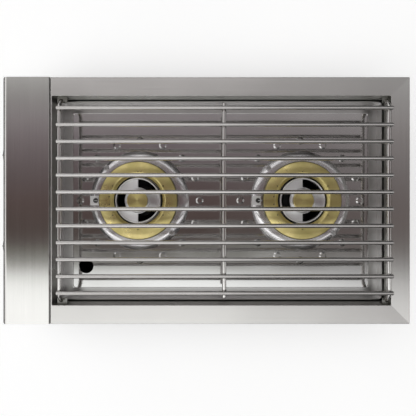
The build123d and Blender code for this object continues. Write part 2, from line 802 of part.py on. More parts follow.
def make_ring_cap(side_name):
    """Brass ring over the gas channel, with flame ports round its side and a carry-over slot."""
    y = burner_y[side_name]
    port_count = 48
    skirt_z = dish_top + 2.2
    with BuildPart() as cap:
        with BuildSketch(Plane(origin=(0, y, 0), x_dir=(1, 0, 0), z_dir=(0, -1, 0))):
            with BuildLine():
                Polyline((ring_inner_r, ring_seat_z), (ring_inner_r, ring_edge_z + 1.2), (40.2, ring_top_z - 0.6))
                ThreePointArc((40.2, ring_top_z - 0.6), (41.6, ring_top_z - 0.1), (43.2, ring_top_z))
                ThreePointArc((43.2, ring_top_z), (50.0, ring_top_z - 0.5), (56.4, ring_top_z - 1.7))
                ThreePointArc((56.4, ring_top_z - 1.7), (57.9, ring_top_z - 2.4), (ring_r, ring_top_z - 4.0))
                Polyline(
                    (ring_r, ring_top_z - 4.0),
                    (ring_r, skirt_z + 0.6),
                    (ring_r - 0.6, skirt_z),
                    (channel_r + 0.5, skirt_z),
                    (channel_r + 0.5, ring_seat_z),
                    (channel_r - 4.0, ring_seat_z),
                    (channel_r - 5.0, ring_seat_z + 1.8),
                    (41.0, ring_seat_z + 1.8),
                    (40.0, ring_seat_z),
                    (ring_inner_r, ring_seat_z),
                )
            make_face()
        revolve(axis=Axis(origin=(0, y, 0), direction=(0, 0, 1)))
        with BuildSketch(Plane(origin=(0, y, ring_seat_z))):
            with PolarLocations(54.0, port_count):
                Rectangle(12, 1.8)
        extrude(amount=1.4, mode=Mode.SUBTRACT)
        with BuildSketch(Plane(origin=(0, y, ring_seat_z))):
            with PolarLocations(43.0, 6, start_angle=0):
                Circle(1.0)
            with PolarLocations(43.0, 2, start_angle=262.5, angular_range=30):
                Circle(1.0)
        extrude(amount=10, mode=Mode.SUBTRACT)
        with BuildSketch(Plane(origin=(0, y, ring_top_z - 3.2))):
            with Locations((0, -50.5)):
                Rectangle(1.2, 17)
        extrude(amount=6, mode=Mode.SUBTRACT)
    save(cap, f"{side_name}_ring_cap")


def make_inner_crown(side_name):
    """Polished centre casting: rim and hub joined by three webs, air openings between."""
    y = burner_y[side_name]
    seat = ring_seat_z
    web_top = crown_top_z - 0.7
    shoulder_r = crown_hub_r - 0.8
    with BuildPart() as crown:
        with BuildSketch(Plane(origin=(0, y, 0), x_dir=(1, 0, 0), z_dir=(0, -1, 0))):
            with BuildLine():
                Polyline((spigot_r + 0.5, seat), (spigot_r + 0.5, cap_seat_z), (15.8, cap_seat_z))
                ThreePointArc((15.8, cap_seat_z), (17.6, cap_seat_z - 0.9), (shoulder_r, web_top + 0.5))
                ThreePointArc((shoulder_r, web_top + 0.5), (25.0, web_top - 0.3), (31.4, web_top))
                ThreePointArc((31.4, web_top), (32.5, crown_top_z + 0.4), (crown_r, crown_top_z - 0.5))
                Polyline((crown_r, crown_top_z - 0.5), (crown_r, seat), (spigot_r + 0.5, seat))
            make_face()
        revolve(axis=Axis(origin=(0, y, 0), direction=(0, 0, 1)))
        for start in (0, 120, 240):
            with BuildSketch(Plane(origin=(0, y, seat - 1))):
                add(web_sketch(crown_hub_r, 31.4, start, 60))
            extrude(amount=20, mode=Mode.SUBTRACT)
    save(crown, f"{side_name}_inner_crown")


def make_centre_cap(side_name):
    """Brass button cap over the hub, standing on a short spigot."""
    y = burner_y[side_name]
    foot_z = cap_seat_z - 5
    with BuildPart() as cap:
        with BuildSketch(Plane(origin=(0, y, foot_z))):
            Circle(spigot_r)
        extrude(amount=5)
        with BuildSketch(Plane(origin=(0, y, cap_seat_z))):
            Circle(cap_r)
        extrude(amount=cap_top_z - cap_seat_z)
        rim = cap.edges().filter_by(GeomType.CIRCLE).sort_by(Axis.Z)[-1]
        fillet(rim, 0.8)
        with BuildSketch(Plane(origin=(0, y, foot_z))):
            Circle(spigot_r - 2)
        extrude(amount=6, mode=Mode.SUBTRACT)
        with BuildSketch(Plane(origin=(0, y, foot_z))):
            with PolarLocations(spigot_r - 1, 12):
                Rectangle(4, 1.4)
        extrude(amount=3.5, mode=Mode.SUBTRACT)
    save(cap, f"{side_name}_centre_cap")


rod_bottom_z = pan_floor_z - 22.0


def make_electrode(side_name):
    """Spark electrode in front of a burner: bracket, ceramic sleeve and bent rod."""
    y = burner_y[side_name] - spark_r
    tip_z = ring_edge_z + 4.0
    with BuildPart() as bracket:
        with BuildSketch(Plane(origin=(0, y, dish_top))):
            with Locations((0, -2.2)):
                Rectangle(14, 12.6)
            Circle(3.6, mode=Mode.SUBTRACT)
        extrude(amount=1.2)
        with BuildSketch(Plane(origin=(0, y, dish_top))):
            with Locations((0, -7.9)):
                Rectangle(14, 1.2)
        extrude(amount=-2.6)
        with BuildSketch(Plane(origin=(0, y, dish_top + 1.2))):
            Circle(4.8)
            Circle(3.6, mode=Mode.SUBTRACT)
        extrude(amount=1)
    save(bracket, f"{side_name}_electrode_bracket")

    with BuildPart() as insulator:
        with BuildSketch(Plane(origin=(0, y, pan_floor_z - 14))):
            Circle(3.6)
        extrude(amount=dish_top + 2.6 - pan_floor_z + 14)
        with BuildSketch(Plane(origin=(0, y, dish_top + 2.6))):
            Circle(2.2)
        extrude(amount=4.4)
        tops = insulator.edges().filter_by(GeomType.CIRCLE).group_by(Axis.Z)[-1]
        fillet(tops, 0.8)
        with BuildSketch(Plane(origin=(0, y, pan_floor_z - 14))):
            Circle(0.9)
        extrude(amount=60, mode=Mode.SUBTRACT)
    save(insulator, f"{side_name}_electrode_ceramic")

    bend_z = dish_top + 9.5
    with BuildPart() as rod:
        with BuildLine():
            FilletPolyline(
                (0, y, rod_bottom_z),
                (0, y, bend_z),
                (0, y + 5.0, tip_z),
                radius=2,
            )
        with BuildSketch(Plane(origin=(0, y, rod_bottom_z))):
            Circle(0.9)
        sweep()
    save(rod, f"{side_name}_electrode_rod")


def make_venturi(side_name):
    """Mixing tube from the air shutter, round a bend and into the burner's socket."""
    side = tap_turn_side[side_name]
    x = side * tap_x
    y_end = burner_y[side_name]
    x_end = side * (socket_x - 12)
    bend_r = 28.0
    with BuildPart() as tube:
        with BuildLine():
            FilletPolyline((x, tube_front, tap_z), (x, y_end, tap_z), (x_end, y_end, tap_z), radius=bend_r)
        with BuildSketch(at_y(x, tube_front, tap_z)):
            Circle(tube_r)
            Circle(tube_r - tube_wall, mode=Mode.SUBTRACT)
        sweep()
        with BuildSketch(at_y(x, tube_front, tap_z)):
            Circle(tube_r - 0.5)
            Circle(3.6, mode=Mode.SUBTRACT)
        extrude(amount=1.0)
        with BuildSketch(Plane(origin=(x, window_y, tap_z))):
            Rectangle(14, 5)
        extrude(amount=14, both=True, mode=Mode.SUBTRACT)
    save(tube, f"{side_name}_venturi")

    with BuildPart() as shutter:
        cylinder_on_y(x, shutter_front, shutter_length, tube_r + 1.4)
        bore_on_y(x, shutter_front, shutter_length, tube_r + running)
        with BuildSketch(Plane(origin=(x, window_y, tap_z))):
            Rectangle(14, 5)
        extrude(amount=14, both=True, mode=Mode.SUBTRACT)
        with BuildSketch(at_y(x, shutter_front + 4, tap_z)):
            with Locations((side * (tube_r + 4.5), 0)):
                Rectangle(8, 5)
        extrude(amount=2.0)
    save(shutter, f"{side_name}_air_shutter")


lead_r = 1.6
lead_paths = {
    "front": [
        (-6, module_back + 3, tap_z),
        (-6, open_front + 10, tap_z),
        (0, burner_y["front"] - spark_r - 12, 44),
        (0, burner_y["front"] - spark_r, 40),
        (0, burner_y["front"] - spark_r, rod_bottom_z),
    ],
    "rear": [
        (6, module_back + 3, tap_z),
        (6, open_front + 12, tap_z),
        (36, open_front + 50, 40),
        (40, well_mid - 90, 34),
        (40, well_mid - 20, 34),
        (26, burner_y["rear"] - spark_r - 26, 34),
        (0, burner_y["rear"] - spark_r, 36),
        (0, burner_y["rear"] - spark_r, rod_bottom_z),
    ],
}
lead_radii = {"front": [6, 7, 3.5], "rear": [8, 20, 30, 30, 12, 4]}


def make_lead(side_name):
    """High-voltage lead from the igniter to the electrode, with the boot at its end."""
    points = lead_paths[side_name]
    with BuildPart() as lead:
        with BuildLine():
            FilletPolyline(*points, radius=lead_radii[side_name])
        with BuildSketch(at_y(*points[0])):
            Circle(lead_r)
        sweep()
        with BuildSketch(Plane(origin=points[-1]).offset(-5)):
            Circle(2.8)
        extrude(amount=5)
        with BuildSketch(Plane(origin=points[-1])):
            Circle(2.8)
            Circle(0.9, mode=Mode.SUBTRACT)
        extrude(amount=6)
    save(lead, f"{side_name}_ignition_lead")


wall_holes = [(-tap_x, tap_z, tube_r + 0.5), (tap_x, tap_z, tube_r + 0.5), (-6, tap_z, 2.5), (6, tap_z, 2.5)]
make_deck_frame()
make_side_wall("firebox_left_wall", -1)
make_side_wall("firebox_right_wall", 1)
make_cross_wall("firebox_front_wall", open_front - wall_sheet, wall_holes)
make_cross_wall("firebox_back_wall", open_back, [])
make_base_plate()
make_drip_pan()
make_grate_supports()
make_grate()
make_control_panel()
make_end_cheeks()
make_panel_screws()
make_manifold()
make_igniter()
make_dish_screws()
for name in ("front", "rear"):
    make_tap(name)
    make_knob(name)
    make_dish(name)
    make_burner_base(name)
    make_ring_cap(name)
    make_inner_crown(name)
    make_centre_cap(name)
    make_electrode(name)
    make_venturi(name)
    make_lead(name)
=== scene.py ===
import math
import bpy
import bmesh
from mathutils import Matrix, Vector


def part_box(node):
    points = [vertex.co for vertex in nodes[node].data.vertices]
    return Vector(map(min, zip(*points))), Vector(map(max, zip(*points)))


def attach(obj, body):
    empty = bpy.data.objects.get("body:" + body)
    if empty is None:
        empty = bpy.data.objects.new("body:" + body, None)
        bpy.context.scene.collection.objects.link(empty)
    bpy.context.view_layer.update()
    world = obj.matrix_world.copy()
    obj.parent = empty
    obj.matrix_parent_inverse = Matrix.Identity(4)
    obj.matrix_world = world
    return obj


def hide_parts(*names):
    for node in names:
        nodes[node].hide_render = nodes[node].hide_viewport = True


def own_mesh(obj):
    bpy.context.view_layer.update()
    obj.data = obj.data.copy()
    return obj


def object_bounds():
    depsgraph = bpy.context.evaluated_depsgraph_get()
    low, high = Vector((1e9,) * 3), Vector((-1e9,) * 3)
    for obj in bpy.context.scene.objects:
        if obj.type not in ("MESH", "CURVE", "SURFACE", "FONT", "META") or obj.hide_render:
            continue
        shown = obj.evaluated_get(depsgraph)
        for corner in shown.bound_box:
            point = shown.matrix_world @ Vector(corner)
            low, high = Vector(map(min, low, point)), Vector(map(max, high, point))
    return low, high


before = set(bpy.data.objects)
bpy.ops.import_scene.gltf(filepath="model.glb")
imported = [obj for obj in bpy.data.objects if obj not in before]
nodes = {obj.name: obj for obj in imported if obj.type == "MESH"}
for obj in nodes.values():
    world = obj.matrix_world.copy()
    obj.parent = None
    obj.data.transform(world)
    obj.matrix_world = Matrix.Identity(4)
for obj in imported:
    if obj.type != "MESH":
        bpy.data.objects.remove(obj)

cad_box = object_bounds()

# ---- places, read from the frame (metres), but for the rail width, which is given ----------------
MM = 0.001
deck_low, deck_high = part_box("deck_frame")
deck_z = deck_high.z
rail_width = 26.5 * MM
ring_low, ring_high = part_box("front_ring_cap")
rear_ring_low, rear_ring_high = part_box("rear_ring_cap")
front_burner = (ring_low + ring_high) / 2
rear_burner = (rear_ring_low + rear_ring_high) / 2
well_mid_y = (front_burner.y + rear_burner.y) / 2
burner_reach = (rear_burner.y - front_burner.y) / 2
ring_r = (ring_high.x - ring_low.x) / 2
pan_low, pan_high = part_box("drip_pan")
open_half = deck_high.x - rail_width
open_back = deck_high.y - rail_width


# ---- node graphs ---------------------------------------------------------------------------------
class Graph:
    """A material's or world's node tree, with short calls for the nodes used here."""

    def __init__(self, owner):
        owner.use_nodes = True
        self.tree = owner.node_tree
        self.tree.nodes.clear()

    def add(self, kind, **settings):
        node = self.tree.nodes.new(kind)
        for key, value in settings.items():
            setattr(node, key, value)
        return node

    def link(self, source, target):
        self.tree.links.new(source, target)

    def put(self, socket, value):
        """A number or colour is set on the socket; a socket is linked to it."""
        if isinstance(value, bpy.types.NodeSocket):
            self.link(value, socket)
        else:
            socket.default_value = value

    def math(self, operation, *values, clamp=False):
        node = self.add("ShaderNodeMath", operation=operation, use_clamp=clamp)
        for socket, value in zip(node.inputs, values):
            self.put(socket, value)
        return node.outputs[0]

    def place(self):
        """Position in the row frame, in metres."""
        return self.add("ShaderNodeTexCoord").outputs["Object"]

    def split(self, vector):
        node = self.add("ShaderNodeSeparateXYZ")
        self.link(vector, node.inputs[0])
        return node.outputs

    def scaled(self, vector, factors):
        node = self.add("ShaderNodeMapping")
        self.link(vector, node.inputs["Vector"])
        node.inputs["Scale"].default_value = factors
        return node.outputs[0]

    def noise(self, vector, scale, detail=3.0, roughness=0.5):
        node = self.add("ShaderNodeTexNoise")
        self.link(vector, node.inputs["Vector"])
        node.inputs["Scale"].default_value = scale
        node.inputs["Detail"].default_value = detail
        node.inputs["Roughness"].default_value = roughness
        return node.outputs["Fac"]

    def span(self, value, low, high, to_low, to_high, smooth=False):
        node = self.add("ShaderNodeMapRange")
        if smooth:
            node.interpolation_type = "SMOOTHSTEP"
        self.put(node.inputs["Value"], value)
        node.inputs["From Min"].default_value = low
        node.inputs["From Max"].default_value = high
        node.inputs["To Min"].default_value = to_low
        node.inputs["To Max"].default_value = to_high
        return node.outputs[0]

    def vary(self, noise, low, high):
        """Spread the middle of a noise's range from low to high."""
        return self.span(noise, 0.3, 0.7, low, high)

    def direction(self, axis):
        """The unit vector along axis 0, 1 or 2."""
        node = self.add("ShaderNodeCombineXYZ")
        node.inputs[axis].default_value = 1.0
        return node.outputs[0]

    def mix(self, factor, first, second):
        node = self.add("ShaderNodeMix", data_type="RGBA")
        self.put(node.inputs["Factor"], factor)
        self.put(node.inputs[6], first)
        self.put(node.inputs[7], second)
        return node.outputs[2]

    def turned(self, place):
        """Distance from the nearer burner's axis, and the direction away from it."""
        x, y, _ = self.split(place)
        across = self.math("SUBTRACT", y, well_mid_y)
        way = self.math("SIGN", across)
        beyond = self.math("SUBTRACT", self.math("ABSOLUTE", across), burner_reach)
        beside = self.math("MULTIPLY", way, beyond)
        flat = self.add("ShaderNodeCombineXYZ")
        self.link(x, flat.inputs[0])
        self.link(beside, flat.inputs[1])
        radius = self.add("ShaderNodeVectorMath", operation="LENGTH")
        self.link(flat.outputs[0], radius.inputs[0])
        outward = self.add("ShaderNodeVectorMath", operation="NORMALIZE")
        self.link(flat.outputs[0], outward.inputs[0])
        return radius.outputs["Value"], outward.outputs[0]

    def rings(self, radius, scale):
        """Lathe marks: noise that changes with the radius alone."""
        along = self.add("ShaderNodeCombineXYZ")
        self.link(radius, along.inputs[0])
        return self.noise(along.outputs[0], scale, 4.0, 0.65)

    def bump(self, height, distance, strength=1.0, normal=None):
        node = self.add("ShaderNodeBump")
        node.inputs["Strength"].default_value = strength
        node.inputs["Distance"].default_value = distance
        self.link(height, node.inputs["Height"])
        if normal is not None:
            self.link(normal, node.inputs["Normal"])
        return node.outputs[0]

    def principled(self, **values):
        node = self.add("ShaderNodeBsdfPrincipled")
        for name, value in values.items():
            self.put(node.inputs[name.replace("_", " ")], value)
        return node

    def shader(self, **values):
        """The principled shader, linked as the material's surface."""
        node = self.principled(**values)
        out = self.add("ShaderNodeOutputMaterial")
        self.link(node.outputs[0], out.inputs["Surface"])
        return node


def material(name):
    made = bpy.data.materials.new(name)
    return made, Graph(made)


def tint(colour, factor):
    """A colour made lighter or darker, as four numbers."""
    return tuple(min(1.0, c * factor) for c in colour[:3]) + (1.0,)


# ---- metals --------------------------------------------------------------------------------------
STEEL = (0.62, 0.605, 0.59)
BRUSH_ALONG = 6          # noise scale along the brushed grain, per metre
BRUSH_ACROSS = 2200      # and across it


def brushed_steel(name, roughness, mitre=False):
    """Brushed sheet, its grain along X.

    With mitre, the grain runs along Y and turns to X on the back rail.
    """
    made, g = material(name)
    p = g.place()
    streak = g.noise(g.scaled(p, (BRUSH_ALONG, BRUSH_ACROSS, BRUSH_ACROSS)), 1.0, 4.0, 0.6)
    tangent = g.direction(1)
    if mitre:
        x, y, _ = g.split(p)
        past_back = g.math("SUBTRACT", y, open_back)
        past_side = g.math("SUBTRACT", g.math("ABSOLUTE", x), open_half)
        on_back = g.math("GREATER_THAN", g.math("SUBTRACT", past_back, past_side), 0.0)
        along_y = g.noise(g.scaled(p, (BRUSH_ACROSS, BRUSH_ALONG, BRUSH_ACROSS)), 1.0, 4.0, 0.6)
        streak = g.mix(on_back, along_y, streak)
        tangent = g.mix(on_back, g.direction(0), tangent)
    cloud = g.noise(p, 14.0, 3.0)
    shade = g.math("ADD", g.math("MULTIPLY", streak, 0.65), g.math("MULTIPLY", cloud, 0.35))
    colour = g.mix(g.vary(shade, 0.0, 1.0), tint(STEEL, 0.9), tint(STEEL, 1.08))
    rough = g.vary(streak, roughness * 0.82, roughness * 1.22)
    normal = g.bump(streak, 0.02 * MM, 0.35)
    shader = g.shader(Base_Color=colour, Metallic=1.0, Roughness=rough, Normal=normal, Tangent=tangent)
    shader.inputs["Anisotropic"].default_value = 0.88
    return made


def sheet_noise(g, place):
    """Fine scratches, and the slow cloudiness of handled metal."""
    return g.noise(place, 900.0, 5.0, 0.65), g.noise(place, 22.0, 4.0, 0.55)


def stained(g, place, cloud, base, grime):
    """The base colour, made cloudy and then browned here and there by heat and grease."""
    stain = g.span(g.noise(place, 9.0, 5.0, 0.6), 0.5, 0.75, 0.0, grime, smooth=True)
    clean = g.mix(cloud, tint(base, 0.93), tint(base, 1.05))
    return g.mix(stain, clean, tint((base[0] * 0.8, base[1] * 0.72, base[2] * 0.6), 0.7))


def plain_steel(name, base, roughness, grime=0.25):
    """Unbrushed sheet or rod: fine scratches, cloudy tone, and darker heat and grease staining."""
    made, g = material(name)
    p = g.place()
    fine, cloud = sheet_noise(g, p)
    colour = stained(g, p, cloud, base, grime)
    rough = g.vary(cloud, roughness * 0.8, roughness * 1.25)
    g.shader(Base_Color=colour, Metallic=1.0, Roughness=rough, Normal=g.bump(fine, 0.01 * MM, 0.25))
    return made


def firebox_sheet(name, outside, inside, roughness):
    """Mill sheet, clean on the outside of the firebox and darker on the inside, as painted shade in the
    well.
    """
    made, g = material(name)
    p = g.place()
    x, y, _ = g.split(p)
    facing_x, facing_y, _ = g.split(g.add("ShaderNodeTexCoord").outputs["Normal"])
    beyond = g.math("SUBTRACT", y, (deck_low.y + deck_high.y) / 2)
    outward = g.math("ADD", g.math("MULTIPLY", x, facing_x), g.math("MULTIPLY", beyond, facing_y))
    facing_out = g.math("GREATER_THAN", outward, 0.0)
    fine, cloud = sheet_noise(g, p)
    along = g.noise(g.scaled(p, (8, 8, 1500)), 1.0, 4.0, 0.6)
    # painted shade: faces turned into the firebox take the darker inside colour
    tone = g.mix(facing_out, inside + (1.0,), outside + (1.0,))
    shade = g.math("ADD", g.math("MULTIPLY", cloud, 0.6), g.math("MULTIPLY", along, 0.4))
    colour = g.mix(g.vary(shade, 0.0, 0.22), tone, (0.16, 0.155, 0.14, 1.0))
    rough = g.vary(cloud, roughness * 0.8, roughness * 1.25)
    g.shader(Base_Color=colour, Metallic=1.0, Roughness=rough, Normal=g.bump(fine, 0.01 * MM, 0.25))
    return made


def mirror_pan(name, base, roughness, wave):
    """Polished sheet with a satin border outside its raised step, and a slow unevenness in the polish."""
    made, g = material(name)
    p = g.place()
    x, y, _ = g.split(p)
    fine, cloud = sheet_noise(g, p)
    pan_mid_y = (pan_low.y + pan_high.y) / 2
    from_mid = g.math("ABSOLUTE", g.math("SUBTRACT", y, pan_mid_y))
    past_y = g.math("SUBTRACT", from_mid, pan_high.y - pan_mid_y)
    past_x = g.math("SUBTRACT", g.math("ABSOLUTE", x), pan_high.x)
    edge = g.math("MAXIMUM", past_x, past_y)
    step_foot = 15.5 * MM
    step_top = 14 * MM
    border = g.span(edge, -step_foot, -step_top, 0.0, 1.0, smooth=True)
    colour = stained(g, p, cloud, base, 0.12)
    polish = g.vary(cloud, roughness * 0.8, roughness * 1.25)
    rough = g.math("MAXIMUM", polish, g.math("MULTIPLY", border, 0.3))
    swell = g.noise(g.scaled(p, (1.0, 0.7, 1.0)), 9.0, 1.0)
    normal = g.bump(swell, wave, 1.0, g.bump(fine, 0.01 * MM, 0.25))
    g.shader(Base_Color=colour, Metallic=1.0, Roughness=rough, Normal=normal)
    return made


def turned_brass(name, base, roughness, tarnish):
    """Brass turned round a burner's axis, with olive tarnish, dark specks, and a near-black band at the
    outer rim that is painted shade and dark reflection at its edge.
    """
    made, g = material(name)
    p = g.place()
    radius, outward = g.turned(p)
    marks = g.rings(radius, 1500.0)
    cloud = g.noise(p, 55.0, 5.0, 0.6)
    speck = g.noise(p, 700.0, 3.0, 0.7)
    dull = tint((base[0] * 0.8, base[1] * 0.84, base[2] * 0.62), 0.88)
    worn = g.mix(g.span(cloud, 0.35, 0.7, 0.0, tarnish, smooth=True), base + (1.0,), dull)
    lined = g.mix(g.vary(marks, 0.0, 0.3), worn, tint(base, 0.8))
    specked = g.mix(g.span(speck, 0.62, 0.8, 0.0, 0.35), lined, tint(base, 0.45))
    # painted shade: the band at the ring's outer rim is darkened almost to black, for the shade and dark
    # reflection at its edge
    painted_dark_rim = g.span(radius, ring_r - 1.6 * MM, ring_r - 0.3 * MM, 0.0, 0.85, smooth=True)
    colour = g.mix(painted_dark_rim, specked, tint(base, 0.16))
    rough = g.vary(cloud, roughness - 0.05, roughness + 0.08)
    normal = g.bump(marks, 0.02 * MM, 0.3)
    shader = g.shader(Base_Color=colour, Metallic=1.0, Roughness=rough, Normal=normal, Tangent=outward)
    shader.inputs["Anisotropic"].default_value = 0.7
    return made


def turned_metal(name, base, roughness, stretch=0.95):
    """Spun or turned metal with fine lathe marks, which spread its highlights into fans."""
    made, g = material(name)
    p = g.place()
    radius, outward = g.turned(p)
    marks = g.rings(radius, 1800.0)
    cloud = g.noise(p, 60.0, 3.0)
    colour = g.mix(g.vary(marks, 0.0, 1.0), tint(base, 0.9), tint(base, 1.06))
    rough = g.vary(cloud, roughness - 0.03, roughness + 0.04)
    normal = g.bump(marks, 0.01 * MM, 0.3)
    shader = g.shader(Base_Color=colour, Metallic=1.0, Roughness=rough, Normal=normal, Tangent=outward)
    shader.inputs["Anisotropic"].default_value = stretch
    return made


def top_shaded_sheet(name, base, roughness):
    """Mill sheet whose side facing up is painted near-black and dull, as painted shade under the pan."""
    made, g = material(name)
    p = g.place()
    fine = g.noise(p, 900.0, 4.0, 0.6)
    cloud = g.noise(p, 30.0, 4.0, 0.6)
    clean = g.mix(cloud, tint(base, 0.88), tint(base, 1.08))
    facing = g.split(g.add("ShaderNodeTexCoord").outputs["Normal"])[2]
    # painted shade: faces turned upward are painted near-black
    dark_mask = g.math("GREATER_THAN", facing, 0.5)
    colour = g.mix(dark_mask, clean, (0.008, 0.008, 0.008, 1.0))
    rough = g.span(dark_mask, 0.0, 1.0, roughness, 0.85)
    metallic = g.span(dark_mask, 0.0, 1.0, 1.0, 0.0)
    g.shader(Base_Color=colour, Metallic=metallic, Roughness=rough, Normal=g.bump(fine, 0.02 * MM, 0.3))
    return made


def sooted_ceramic(name, base):
    """Glazed ceramic, blackened at its tip by the flame."""
    made, g = material(name)
    p = g.place()
    height = g.split(p)[2]
    smudge = g.noise(p, 500.0, 3.0)
    level = g.math("ADD", height, g.math("MULTIPLY", smudge, 2 * MM))
    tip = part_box("front_electrode_ceramic")[1].z
    dark_mask = g.span(level, tip - 6 * MM, tip - 3 * MM, 0.0, 1.0, smooth=True)
    colour = g.mix(dark_mask, base + (1.0,), (0.02, 0.018, 0.016, 1.0))
    rough = g.span(dark_mask, 0.0, 1.0, 0.2, 0.75)
    g.shader(Base_Color=colour, Roughness=rough, Normal=g.bump(smudge, 0.03 * MM, 0.3))
    return made


def cast_metal(name, base, roughness, metallic=0.85):
    """Sand-cast metal with a grainy skin."""
    made, g = material(name)
    p = g.place()
    grain = g.noise(p, 650.0, 4.0, 0.7)
    cloud = g.noise(p, 40.0, 3.0)
    colour = g.mix(cloud, tint(base, 0.8), tint(base, 1.15))
    normal = g.bump(grain, 0.15 * MM, 0.6)
    rough = g.vary(grain, roughness - 0.08, roughness + 0.1)
    g.shader(Base_Color=colour, Metallic=metallic, Roughness=rough, Normal=normal)
    return made


def plastic(name, base, roughness):
    """Moulded plastic or rubber with a slight orange-peel skin."""
    made, g = material(name)
    p = g.place()
    skin = g.noise(p, 1400.0, 3.0, 0.5)
    cloud = g.noise(p, 60.0, 2.0)
    colour = g.mix(cloud, tint(base, 0.85), tint(base, 1.1))
    rough = g.vary(cloud, roughness * 0.85, roughness * 1.15)
    g.shader(Base_Color=colour, Roughness=rough, Normal=g.bump(skin, 0.03 * MM, 0.4))
    return made


def dress(made, *names):
    """Give these CAD nodes this material."""
    for name in names:
        mesh = nodes[name].data
        if not mesh.materials:
            mesh.materials.append(made)
        for index in range(len(mesh.materials)):
            mesh.materials[index] = made


def pair(name):
    return f"front_{name}", f"rear_{name}"


dress(brushed_steel("deck_brushed", 0.19, mitre=True), "deck_frame")
dress(brushed_steel("panel_brushed", 0.13), "control_panel", "panel_end_cheeks")
# the darker inside colour is painted shade in the firebox well
walls = firebox_sheet("firebox_sheet", (0.66, 0.655, 0.645), (0.34, 0.34, 0.315), 0.3)
dress(walls, "firebox_left_wall", "firebox_right_wall", "firebox_front_wall", "firebox_back_wall")
dress(plain_steel("mill_sheet", (0.5, 0.5, 0.48), 0.32), "manifold_brackets", *pair("air_shutter"))
# painted shade: the grate supports get a darker sheet for the shade in the well's corners
dress(plain_steel("support_sheet_painted_shade", (0.28, 0.28, 0.26), 0.35), "grate_supports")
dress(top_shaded_sheet("base_sheet", (0.45, 0.45, 0.43), 0.35), "base_plate")
dress(plain_steel("bracket_sheet", (0.84, 0.83, 0.82), 0.5, grime=0.1), *pair("electrode_bracket"))
dress(mirror_pan("mirror_sheet", (0.62, 0.61, 0.605), 0.09, 1.2 * MM), "drip_pan")
dress(turned_metal("spun_dish", (0.8, 0.78, 0.79), 0.21, 0.8), *pair("burner_dish"))
rods = plain_steel("rod_steel", (0.68, 0.66, 0.645), 0.12, grime=0.1)
dress(rods, "grate_bars", "grate_cross_rods")
bright = plain_steel("bright_steel", (0.6, 0.6, 0.6), 0.25, grime=0.1)
dress(bright, "dish_screws", "panel_screws", *pair("valve_stem"))
springs = plain_steel("spring_steel", (0.55, 0.55, 0.54), 0.28)
dress(springs, *pair("stem_spring"), "igniter_spring", "igniter_nut", *pair("electrode_rod"))
dress(plain_steel("tube_steel", (0.45, 0.45, 0.44), 0.35), "gas_manifold", *pair("venturi"))
satin_brass = turned_brass("satin_brass", (0.74, 0.62, 0.28), 0.3, 0.5)
dress(satin_brass, *pair("ring_cap"), *pair("centre_cap"))
bright_brass = turned_brass("bright_brass", (0.7, 0.55, 0.28), 0.25, 0.3)
dress(bright_brass, "gas_inlet_fitting", *pair("orifice"), *pair("tap_plug"))
dress(cast_metal("cast_aluminium", (0.42, 0.42, 0.41), 0.5), *pair("valve_body"))
# near-black burner bases: dark cast iron, darkened further as painted shade seen through the crown's
# openings
casting_with_painted_shade = cast_metal("dark_casting_painted_shade", (0.012, 0.012, 0.012), 0.8, metallic=0.0)
dress(casting_with_painted_shade, *pair("burner_base"))
dress(turned_metal("polished_crown", (0.84, 0.83, 0.84), 0.36), *pair("inner_crown"))
dress(plain_steel("satin_chrome", (0.68, 0.68, 0.67), 0.22, grime=0.0), *pair("knob"), *pair("bezel"))
black_gloss = plastic("black_gloss", (0.02, 0.02, 0.02), 0.25)
dress(black_gloss, "igniter_module", "igniter_button", *pair("knob_pointer"))
dress(sooted_ceramic("white_ceramic", (0.8, 0.78, 0.74)), *pair("electrode_ceramic"))
dress(plastic("silicone_lead", (0.08, 0.075, 0.075), 0.5), *pair("ignition_lead"))
dress(plastic("cell_jacket", (0.1, 0.18, 0.34), 0.3), "battery")


# ---- weld beads on the grate ---------------------------------------------------------------------
def make_welds():
    """A low bead round each place where a bar crosses a rod."""
    bars_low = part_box("grate_bars")[0]
    rods_low, rods_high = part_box("grate_cross_rods")
    bars = 12
    rods_across = 3
    rod_r = 3.0 * MM
    pitch = 23.5 * MM
    bead = 3.4 * MM
    flatness = 0.42
    unevenness = 0.06
    joint_z = bars_low.z + 0.3 * MM
    first_y = rods_low.y + rod_r
    rod_pitch = (rods_high.y - rod_r - first_y) / (rods_across - 1)
    mesh = bpy.data.meshes.new("grate_welds")
    shape = bmesh.new()
    for column in range(bars):
        x = bars_low.x + rod_r + column * pitch
        for row in range(rods_across):
            y = first_y + row * rod_pitch
            made = bmesh.ops.create_icosphere(shape, subdivisions=2, radius=bead)
            for vertex in made["verts"]:
                swirl = math.sin(900 * vertex.co.x + 5 * column) * math.cos(1100 * vertex.co.y + 3 * row)
                lump = 1.0 + unevenness * swirl
                vertex.co.x *= lump
                vertex.co.y *= lump
                vertex.co.z *= flatness
                vertex.co += Vector((x, y, joint_z))
    for face in shape.faces:
        face.smooth = True
    shape.to_mesh(mesh)
    shape.free()
    welds = bpy.data.objects.new("grate_welds", mesh)
    bpy.context.scene.collection.objects.link(welds)
    mesh.materials.append(plain_steel("weld_steel", (0.5, 0.47, 0.44), 0.4, grime=0.4))
    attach(welds, "grate")


make_welds()


# ---- springs -------------------------------------------------------------------------------------
def make_springs():
    """Each spring is copied onto a mesh of its own and carried by its knob's or button's body; the CAD node
    is hidden.
    """
    for node, joint, body, travel in (
        ("front_stem_spring", "front_knob_push", "front_tap", 3 * MM),
        ("rear_stem_spring", "rear_knob_push", "rear_tap", 3 * MM),
        ("igniter_spring", "igniter_button_push", "firebox", 4 * MM),
    ):
        coil = bpy.data.objects.new(node + "_coil", nodes[node].data.copy())
        bpy.context.scene.collection.objects.link(coil)
        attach(coil, body)
        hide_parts(node)
        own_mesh(coil)


make_springs()


